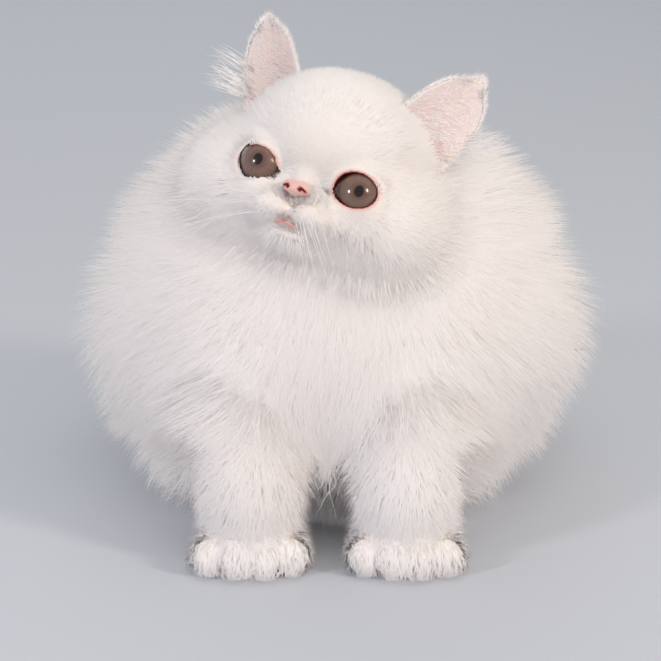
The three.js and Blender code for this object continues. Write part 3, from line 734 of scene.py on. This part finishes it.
corner = skinSpots[skinFaces]
corner = np.concatenate((corner[:, (0, 1, 2)], corner[:, (0, 2, 3)]))
normal = np.cross(corner[:, 1] - corner[:, 0], corner[:, 2] - corner[:, 0])
area = np.linalg.norm(normal, axis=1) / 2
normal = unit(normal)
centre = corner.mean(axis=1)
rootShares, rootPlush, rootCheek = coatValues(centre, coreLevels(centre)[1])[1:]
zone = np.array(zoneNames)[rootShares.argmax(0)]
underFloor = (centre[:, 2] < 12) & (normal[:, 2] < -0.5)
inHead = zone == "head"
members = {
    "face": inHead & (rootCheek < 0.35) & (rootPlush < 0.75),
    "crown": inHead & (rootCheek < 0.35) & (rootPlush >= 0.75),
    "cheeks": inHead & (rootCheek >= 0.35),
    "ruff": zone == "neck",
    "bib": zone == "chest",
    "body": (zone == "torso") | (zone == "thigh"),
    "right": (zone == "torso") & (centre[:, 0] < 3),
    "left": (zone == "torso") & (centre[:, 0] >= 3),
    "haunches": zone == "thigh",
    "legs": (zone == "leg") | (zone == "paw"),
    "tail": zone == "tail",
}


def openSkin(p):  # 1 where tufts may grow, 0 on the nose, the lips and between the lids
    q = toHead(p)
    keep = np.ones(len(p), bool)
    for side in sides:
        across, up, ahead = eyePlace(p, side)
        edge = (lidReach(across, up, side) - 1) * lids[side][1]
        keep &= (ahead < 0) | (edge > 0.6 + 1.3 * rng.random(len(p)))
        keep &= np.sqrt(across ** 2 + up ** 2 + ahead ** 2) > lids["socket"] + 0.9
    nose = np.linalg.norm((q - np.array((0, -7, -7))) / (1.2, 1, 0.8), axis=1)
    keep &= nose > 4.9 + 1.3 * rng.random(len(p))
    front = q[:, 1] < 8
    near = np.full(len(p), 99.0)
    near[front] = tubeLevel(q[front], mouth["line"], 0)
    near[front] = np.minimum(near[front], tubeLevel(q[front], mouth["split"], 0, 6))
    near[front] = np.minimum(near[front], tubeLevel(q[front], mouth["lip"], 0, 8) - 0.9)
    near = np.minimum(near, massLevel(mouth["gap"], q))
    keep &= near > 1.3 + 0.9 * rng.random(len(p))
    return keep


for name, (patch, kind, tufts, width, rows) in pieces.items():
    layer = layers[kind]
    weight = area * members[patch] * np.where(underFloor, 0.05, 1)
    if name == "coatFace":
        weight = weight * (1 + 2.2 * (1 - rootPlush))
    picked = rng.choice(len(area), tufts, p=weight / weight.sum())
    a, b = rng.random((2, tufts))
    over = a + b > 1
    a[over], b[over] = 1 - a[over], 1 - b[over]
    tri = corner[picked]
    roots = tri[:, 0] + a[:, None] * (tri[:, 1] - tri[:, 0]) + b[:, None] * (tri[:, 2] - tri[:, 0])
    if patch in ("face", "crown"):
        roots = roots[openSkin(roots)]
    paths, outs, lies, plush, held = growPaths(roots, layer, layer["rows"][rows])
    roots = roots[held]
    if kind == "guard":
        paths = gathered(paths, gather["every"], gather["pull"] * rng.uniform(0.4, 1.6, len(roots)))
    widths = width * rng.uniform(0.75, 1.25, len(roots))
    if name == "coatFace":
        widths *= 0.7 + 0.5 * plush
    shades = np.clip(0.55 + 0.2 * waves(roots, 30)[:, 0] + 0.12 * rng.normal(size=len(roots)), 0, 1)
    tuftPiece(name, paths, outs, lies, widths, layer["profile"][rows], unwrapped(roots), shades,
              layer["roll"], layer["soft"])

# eyes: a ball whose front bulges like a cornea, with the iris in its colour under a clear coat
eye = {"corneaForward": 4, "corneaRadius": 8.3, "pupil": (2.0, 2.5), "gaze": 10, "rings": 40, "around": 64}


def makeEyeMaterial():  # wet cornea over a grey-brown iris with fine fibres and a dark rim
    material, tree, shader = newMaterial("wetEye", {
        "Roughness": 0.25, "IOR": 1.376, "Coat Weight": 1, "Coat Roughness": 0.02, "Coat IOR": 1.376,
    })
    place = addNode(tree, "TexCoord").outputs["Object"]
    split = addNode(tree, "SeparateXYZ", links={"Vector": place})
    across, up = (addNode(tree, "Math", {"operation": "MULTIPLY"}, {1: 1000}, {0: split.outputs[axis]})
                  for axis in "XZ")
    flat = addNode(tree, "CombineXYZ", links={"X": across.outputs[0], "Y": up.outputs[0]})
    far = addNode(tree, "VectorMath", {"operation": "LENGTH"}, links={0: flat.outputs[0]}).outputs["Value"]
    angle = addNode(tree, "Math", {"operation": "ARCTAN2"}, links={0: up.outputs[0], 1: across.outputs[0]})
    spoke = addNode(tree, "CombineXYZ", links={"X": angle.outputs[0], "Y": far})
    stretched = addNode(tree, "VectorMath", {"operation": "MULTIPLY"}, {1: (9, 0.25, 1)},
                        {0: spoke.outputs[0]})
    fibres = addNode(tree, "TexNoise", values={"Scale": 1, "Detail": 3},
                     links={"Vector": stretched.outputs[0]}).outputs["Fac"]
    share = addNode(tree, "Math", {"operation": "MULTIPLY"}, {1: 0.1}, {0: far})
    base = addNode(tree, "ValToRGB", links={"Fac": share.outputs[0]}, stops=[
        (0, "#50392f"), (0.25, "#6a5046"), (0.5, "#80665b"), (0.72, "#70574c"), (0.8, "#3d231e"),
        (0.88, "#241110"), (1, "#5a2323")]).outputs["Color"]
    tint = addNode(tree, "ValToRGB", links={"Fac": fibres},
                   stops=[(0.3, "#d8d0c8"), (0.7, "#ffffff")]).outputs["Color"]
    mixed = addNode(tree, "Mix", {"data_type": "RGBA", "blend_type": "MULTIPLY"}, {0: 0.6},
                    {6: base, 7: tint})
    wide, tall = eye["pupil"]
    oval = addNode(tree, "VectorMath", {"operation": "MULTIPLY"}, {1: (1 / wide, 1 / tall, 0)},
                   {0: flat.outputs[0]})
    size = addNode(tree, "VectorMath", {"operation": "LENGTH"}, links={0: oval.outputs[0]}).outputs["Value"]
    hole = addNode(tree, "MapRange", values={1: 0.85, 2: 1.15}, links={0: size})
    final = addNode(tree, "Mix", {"data_type": "RGBA"}, {6: linear("#1a0d0b")},
                    {0: hole.outputs[0], 7: mixed.outputs[2]})
    tree.links.new(final.outputs[2], shader.inputs["Base Color"])
    return material


eyeMaterial = makeEyeMaterial()
for side, sign in sides.items():
    rings, around = eye["rings"], eye["around"]
    angles = np.linspace(0, math.pi, rings + 1)[1:-1]
    forward, radius, ball = eye["corneaForward"], eye["corneaRadius"], cat["eyeRadius"]
    front = forward * np.cos(angles) + np.sqrt(np.maximum(radius ** 2 - (forward * np.sin(angles)) ** 2, 0))
    reach = -softMin(-front, np.full(len(angles), -ball), 1.2)
    spin = np.linspace(0, 2 * math.pi, around, endpoint=False)
    spots = [(0, -(forward + radius), 0)]
    for angle, far in zip(angles, reach):
        out = far * math.sin(angle)
        spots += [(out * math.cos(t), -far * math.cos(angle), out * math.sin(t)) for t in spin]
    spots.append((0, ball, 0))
    quads = [(1 + row * around + k, 1 + row * around + (k + 1) % around,
              1 + (row + 1) * around + (k + 1) % around, 1 + (row + 1) * around + k)
             for row in range(len(angles) - 1) for k in range(around)]
    end = len(spots) - 1
    caps = [(0, 1 + (k + 1) % around, 1 + k) for k in range(around)]
    caps += [(end, end - around + k, end - around + (k + 1) % around) for k in range(around)]
    spots = [tuple(v / 1000 for v in spot) for spot in spots]
    made = addPlainMesh("eyeball_" + side, spots, quads + caps, eyeMaterial)
    place = np.eye(4)
    place[:3, :3] = headTurn @ turn("Z", sign * cat["eyeOutward"] + eye["gaze"])
    place[:3, 3] = toFrame(eyeSpots[side])
    made.matrix_world = Matrix(place)
    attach(made, "root")
    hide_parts("eye_" + side)
print("eyes done")

# nose leather with two comma-shaped nostrils
nose = {
    "masses": [(0, -4.3, -6.1, 5.2, 3.7, 2.0), (0, -4.3, -8.1, 3.0, 4.2, 2.3),
               *mirrored(3.4, -4.2, -7.1, 2.4, 3.3, 1.9)],
    "hole": (2.7, -8.0, -7.7, 0.75, 2.2, 0.62), "slit": (4.1, -7.4, -7.4, 1.6, 2.4, 0.34),
    # edge and inside: the lining's own pink-red, deepened by painted shade in and round the nostrils
    "leather": "#ecc0ba", "edge": "#cf7f7a", "inside": "#9a4345",
    "pebble": 0.45,  # size of the leather's pebbles in mm
}


def nostrils(q):
    level = np.full(len(q), 99.0)
    for sign in sides.values():
        for key, lean in (("hole", 0.5), ("slit", 0.45)):
            x, y, z, *size = nose[key]
            r = q - np.array((sign * x, y, z))
            a, b = math.cos(lean), math.sin(lean) * sign
            r = np.stack((a * r[:, 0] - b * r[:, 2], r[:, 1], b * r[:, 0] + a * r[:, 2]), axis=1)
            level = np.minimum(level, massLevel((0, 0, 0, *size), r))
    return level


def noseLevel(q):
    return -softMin(-blended(nose["masses"], 2, q), nostrils(q), 0.5)


def makeNoseLeather():
    material, tree, shader = tintedMaterial("noseLeather", {
        "Roughness": 0.42, "IOR": 1.45, "Subsurface Weight": 0.15, "Subsurface Scale": 0.0015,
    }, "inside", [(0, nose["leather"]), (0.55, nose["edge"]), (1, nose["inside"])])
    place = addNode(tree, "TexCoord")
    pebbles = addNode(tree, "TexVoronoi", values={"Scale": 1000 / nose["pebble"]},
                      links={"Vector": place.outputs["Object"]})
    bump = addNode(tree, "Bump", {"invert": True}, {"Strength": 0.35, "Distance": 0.00012},
                   {"Height": pebbles.outputs["Distance"]})
    tree.links.new(bump.outputs["Normal"], shader.inputs["Normal"])
    return material


noseSpots, noseFaces = surfaceNet(noseLevel, np.arange(-7, 7.1, 0.25), np.arange(-10.5, 1.2, 0.25),
                                  np.arange(-12.5, -1, 0.25))
nosePiece = addMesh("noseLeather", fromHead(noseSpots), noseFaces, makeNoseLeather())
# darker red in and round the nostrils: the lining's own red with painted shade in the holes
setShade(nosePiece, 1 - smoothStep(-0.2, 0.7, nostrils(noseSpots)), "inside")
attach(nosePiece, "root")
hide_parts("nose")
print("nose done")

# ears: a thin curved cup, pale pink inside, with short white fur and long hair across its mouth
ear = {
    "height": 34, "halfWidth": 15.5, "tipHalf": 7.6, "thick": 2.2, "curl": 58, "tipCurl": 24, "sunk": 7,
    "base": (36, 27, 34), "out": 25, "back": 4, "turn": 26, "across": 30, "up": 28,
    # deep is the inside's pink darkened by painted shade, for the hollow of the cup
    "inside": "#f2e0dc", "deep": "#e6c6bf", "outside": "#f6f0eb",
}


def earTurn(sign):
    return turn("Y", sign * ear["out"]) @ turn("X", -ear["back"]) @ turn("Z", sign * ear["turn"])


def earPoint(u, v, t):  # u across -1 to 1, v 1 behind to -1 inside, t up the ear; in the ear's own frame
    height = -ear["sunk"] + (ear["height"] + ear["sunk"]) * t
    taper = np.clip(height / ear["height"], 0, 1) ** 1.9
    half = (ear["halfWidth"] + (ear["tipHalf"] - ear["halfWidth"]) * taper) * np.sqrt(1 - 0.6 * t ** 8)
    curl = np.radians(ear["curl"] + (ear["tipCurl"] - ear["curl"]) * t)
    middle = half / np.sin(curl)
    thin = 1 - 0.45 * np.maximum(u * u, t ** 3)
    radius = middle + v / 2 * ear["thick"] * thin
    shoulder = 4.6 * u * u * t ** 4
    return np.stack((radius * np.sin(u * curl), radius * np.cos(u * curl) - middle * np.cos(curl),
                     height - shoulder), axis=-1)


def earPlace(local, sign):
    q = local @ earTurn(sign).T + np.array((sign * ear["base"][0], ear["base"][1], ear["base"][2]))
    return fromHead(q)


def alongEar(sign, u, v, t, length, lean, stand, rows, droop=0.0):
    # tufts from places on the ear: lean is the way they lie in the sheet, stand how they lift off it
    base = earPoint(u, v, t)
    sideways = unit(earPoint(u + 0.01, v, t) - base)
    upward = unit(earPoint(u, v, t + 0.01) - base)
    outwards = unit(np.cross(sideways, upward)) * -np.sign(v)[:, None]
    way = unit(lean[:, :1] * sideways + lean[:, 1:] * upward + 0.12 * rng.normal(size=(len(u), 3)))
    lines = []
    for share in rows:
        spot = base + way * (length * share)[:, None]
        spot = spot + outwards * (stand * length * share ** 0.8 - 0.4)[:, None]
        spot[:, 2] -= droop * length * share ** 2
        lines.append(earPlace(spot, sign))
    return np.stack(lines, axis=1), outwards @ earTurn(sign).T @ headTurn.T


# thin warm skin: light comes through it, so it scatters
earSkin = tintedMaterial("thinEarSkin", {
    "Roughness": 0.55, "Subsurface Weight": 0.35, "Subsurface Scale": 0.004,
    "Subsurface Radius": (1.0, 0.45, 0.3),
}, "inside", [(0, ear["outside"]), (0.6, ear["inside"]), (1, ear["deep"])])[0]
earHair = {  # how many tufts of each kind, and their widths in mm
    "back": 2600, "rim": 1500, "inside": 1300, "furnish": 150,
    "width": (0.3, 0.5), "wispWidth": (0.25, 0.42),
}
for side, sign in sides.items():
    across, up = ear["across"], ear["up"]
    u, t = np.meshgrid(np.linspace(-1, 1, across + 1), np.linspace(0, 1, up + 1), indexing="ij")
    u, t = u.ravel(), t.ravel()
    local = np.concatenate((earPoint(u, np.ones_like(u), t), earPoint(u, -np.ones_like(u), t)))
    grid = np.arange((across + 1) * (up + 1)).reshape(across + 1, up + 1)
    quads = np.stack((grid[:-1, :-1], grid[1:, :-1], grid[1:, 1:], grid[:-1, 1:]), axis=-1).reshape(-1, 4)
    rim = np.concatenate((grid[:, 0], grid[-1, 1:], grid[-2::-1, -1], grid[0, -2:0:-1]))
    other = np.roll(rim, -1)
    back = len(u)
    edge = np.stack((rim, other, other + back, rim + back), axis=1)
    faces = np.concatenate((quads[:, ::-1], quads + back, edge))
    made = addMesh("ear_skin_" + side, earPlace(local, sign), faces, earSkin)
    shell = bmesh.new()
    shell.from_mesh(made.data)
    bmesh.ops.recalc_face_normals(shell, faces=shell.faces)
    shell.to_mesh(made.data)
    shell.free()
    # painted shade: the inside turns deeper pink towards the middle and the base of the cup
    depth = (1 - u * u) * (1 - 0.7 * t)
    setShade(made, np.concatenate((np.zeros(back), 0.5 + 0.5 * depth)), "inside")
    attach(made, "root")
    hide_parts("ear_" + side)

    groups = []
    n = earHair["back"]
    u, t = rng.uniform(-0.98, 0.98, n), rng.random(n) * 0.97
    groups.append(alongEar(sign, u, np.ones(n), t, rng.uniform(4, 7, n),
                           np.stack((0.25 * u, np.ones(n)), axis=1), 0.14, (0, 0.5, 1)))
    n = earHair["rim"]
    edge = rng.random(n)
    u = np.where(edge < 0.4, -1, np.where(edge < 0.8, 1, rng.uniform(-1, 1, n))) * rng.uniform(0.96, 1, n)
    t = np.where(edge < 0.8, rng.random(n), rng.uniform(0.96, 1, n))
    groups.append(alongEar(sign, u, rng.choice((-1.0, 1.0), n), t, rng.uniform(2, 3.6, n),
                           np.stack((0.7 * u, np.ones(n)), axis=1), 0.1, (0, 0.5, 1)))
    n = earHair["inside"]
    u, t = rng.uniform(-0.95, 0.95, n), rng.random(n) ** 1.2
    groups.append(alongEar(sign, u, -np.ones(n), t, rng.uniform(2.5, 5, n),
                           np.stack((0.5 * u + sign * 0.3, np.ones(n)), axis=1), 0.16, (0, 0.5, 1)))
    paths, outs = (np.concatenate([group[k] for group in groups]) for k in (0, 1))
    widths = rng.uniform(*earHair["width"], len(paths))
    profiles = layers["guard"]["profile"]
    hairPiece("coatEar_" + side, paths, outs, widths, profiles[3], rng.uniform(0.4, 1, len(paths)))
    n = earHair["furnish"]
    u = -sign * np.where(rng.random(n) < 0.7, rng.uniform(0, 0.95, n), rng.uniform(-0.95, -0.6, n))
    t = 0.1 + 0.4 * rng.random(n) ** 1.4
    length = rng.uniform(18, 32, n) * (1.05 - 0.5 * t)
    lean = np.stack((sign * np.ones(n), 0.35 + 0.8 * rng.random(n)), axis=1)
    paths, outs = alongEar(sign, u, -np.ones(n), t, length, lean, 0.22, (0, 0.36, 0.72, 1), 0.12)
    paths = gathered(paths, 9, np.full(n, 0.45))
    widths = rng.uniform(*earHair["wispWidth"], n)
    hairPiece("furnish_" + side, paths, outs, widths, profiles[4], rng.uniform(0.5, 1, n))
print("ears done")

# whiskers and brow hairs: stiff white bristles that taper from the root
bristle = {
    "right": 13, "left": 9, "brow": 4, "rows": 9,  # how many, and points along each
    "width": 0.28, "rightLength": (44, 72), "leftLength": (24, 40), "browLength": (22, 34),  # mm
}


def bristleLine(shares, start, way, length, bend):
    straight = shares * unit(np.array(way)) * length
    return fromHead(np.array(start) + straight + shares ** 2 * np.array(bend) * length)


def bristles():
    lines = []
    shares = np.linspace(0, 1, bristle["rows"])[:, None]
    for i in range(bristle["right"]):  # long ones, swept out and a little down
        row, column = i % 4, i // 4
        start = (-6 - 2.7 * column, -5.5 + 1.1 * column, -11.5 - 2.6 * row)
        way = (-1, 0.05 + 0.12 * rng.normal(), 0.15 - 0.17 * row)
        length = rng.uniform(*bristle["rightLength"])
        bend = (0, 0.3 * rng.uniform(0.2, 1), -0.2 * rng.uniform(0.2, 1.6))
        lines.append(bristleLine(shares, start, way, length, bend))
    for i in range(bristle["left"]):  # shorter ones that hang forward
        row, column = i % 4, i // 4
        start = (5 + 2.7 * column, -5.5 + 1.1 * column, -12 - 2.6 * row)
        way = (0.5 + 0.1 * rng.normal(), -0.35, -0.45 - 0.1 * row)
        length = rng.uniform(*bristle["leftLength"])
        bend = (0.1, 0.35, -0.2 * rng.uniform(0.2, 1.6))
        lines.append(bristleLine(shares, start, way, length, bend))
    for sign in sides.values():
        for i in range(bristle["brow"]):
            start = (sign * (15 + 3.2 * i), 3.5, 14.5)
            way = (sign * (0.35 + 0.2 * i), -0.3, 0.8)
            length = rng.uniform(*bristle["browLength"])
            lines.append(bristleLine(shares, start, way, length, (sign * 0.1, 0.4, 0.05)))
    lines = np.array(lines)
    outs = np.repeat(headWay(0, -1, 0)[None], len(lines), axis=0)
    profile = (1 - shares[:, 0] ** 1.5) * (shares[:, 0] > 0)
    widths = np.full(len(lines), bristle["width"])
    hairPiece("whiskers", lines, outs, widths, profile, np.ones(len(lines)))


bristles()

# stage: pale floor that curves up into the wall behind
stage = {"width": 6, "front": 3, "back": 1.6, "curve": 0.7, "steps": 16, "height": 3, "colour": "#c9ced6"}


def makeStage():
    values = {"Roughness": 0.9, "Base Color": linear(stage["colour"])}
    material = newMaterial("mattPaper", values)[0]
    back, curve, steps = stage["back"], stage["curve"], stage["steps"]
    profile = [(-stage["front"], 0), (back, 0)]
    for i in range(1, steps + 1):
        angle = i / steps * math.pi / 2
        profile.append((back + curve * math.sin(angle), curve * (1 - math.cos(angle))))
    profile.append((back + curve, stage["height"]))
    half = stage["width"] / 2
    spots = [(x, y, z - 0.0001) for y, z in profile for x in (-half, half)]
    faces = [(2 * i, 2 * i + 1, 2 * i + 3, 2 * i + 2) for i in range(len(profile) - 1)]
    made = addPlainMesh("paper", spots, faces, material)


makeStage()

# soft lights: two small panels that also show in the eyes, and wide ones overhead and behind
lights = {  # place and size in metres, power in watts
    "panelRight": ((1.15, -0.75, 0.75), (0.2, 0.3), 7.5, "#fff2ea"),
    "panelLeft": ((-1.1, -0.85, 0.65), (0.18, 0.26), 6, "#f8f5fb"),
    "overhead": ((0.25, -0.8, 1.5), (1.4, 1.2), 7.8, "#fff9f2"),
    "behind": ((-0.3, 1.25, 1.1), (1.4, 1), 5, "#fbf8f5"),
}
aim = Vector((0, 0, 0.12))
for name, (place, size, power, colour) in lights.items():
    data = bpy.data.lights.new(name, "AREA")
    data.shape = "RECTANGLE"
    data.size, data.size_y = size
    data.energy = power
    data.color = linear(colour)[:3]
    lamp = addObject(name, data)
    lamp.location = place
    lamp.visible_glossy = name.startswith("panel")  # only the panels show in the eyes
    lamp.rotation_euler = (aim - lamp.location).to_track_quat("-Z", "Y").to_euler()
world = bpy.data.worlds.new("softRoom")
world.use_nodes = True
for key, value in (("Color", linear("#eeeeec")), ("Strength", 0.5)):
    world.node_tree.nodes["Background"].inputs[key].default_value = value
bpy.context.scene.world = world
bpy.context.scene.view_settings.view_transform = "Standard"

# camera: as in the photograph, from a little above
camera = {"target": (1.1, 0, 87.9), "distance": 1050, "elevation": 20, "field": 16.28}
data = bpy.data.cameras.new("camera")
data.lens_unit = "FOV"
data.angle = math.radians(camera["field"])
viewer = addObject("camera", data)
rise = math.radians(camera["elevation"])
target = Vector(toFrame(camera["target"]))
viewer.location = target + camera["distance"] / 1000 * Vector((0, -math.cos(rise), math.sin(rise)))
viewer.rotation_euler = (target - viewer.location).to_track_quat("-Z", "Y").to_euler()
bpy.context.scene.camera = viewer
print("stage, lights and camera done")
